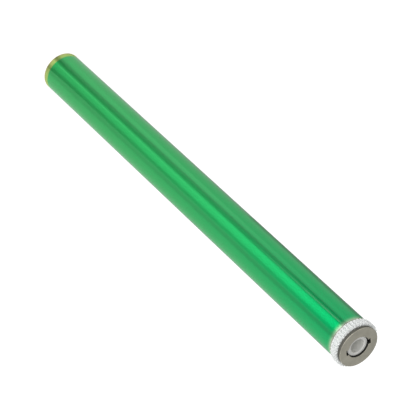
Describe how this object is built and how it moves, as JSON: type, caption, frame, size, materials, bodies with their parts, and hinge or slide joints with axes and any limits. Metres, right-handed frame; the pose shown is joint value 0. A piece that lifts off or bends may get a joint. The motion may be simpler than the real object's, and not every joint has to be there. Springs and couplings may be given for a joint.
{
  "type": "printer drum unit",
  "caption": "Green photoconductor drum on an aluminium tube, with a white toothed flange, a keyed grey drive plate and a shaft bush at one end and a ribbed flange at the other.",
  "frame": {"origin": "centre of the tube's rim at the plain end, on which the drum stands", "axes": "+Z along the shaft axis, from the plain end to the gear end; X through the two notches of the face plate"},
  "size_m": [0.0322, 0.0322, 0.3633],
  "materials": {
    "coated_tube": "glossy clear green coating over aluminium, bare yellowish band at each end",
    "white_acetal": "white moulding, satin",
    "grey_steel": "grey sheet steel, dull satin",
    "dark_rubber": "matte dark rubber",
    "bush_resin": "off-white moulding, satin",
    "sleeve_resin": "dark grey moulding, matte",
    "flange_resin": "dark grey moulding, satin",
    "spring_bronze": "bright rolled spring bronze"
  },
  "bodies": {
    "root": {"drum_tube": "coated_tube", "gear_flange": "white_acetal", "face_plate": "grey_steel", "cushion_ring": "dark_rubber", "front_bush": "bush_resin", "damping_sleeve": "sleeve_resin", "end_flange": "flange_resin", "end_bush": "bush_resin", "earth_plate": "spring_bronze"}
  },
  "joints": []
}
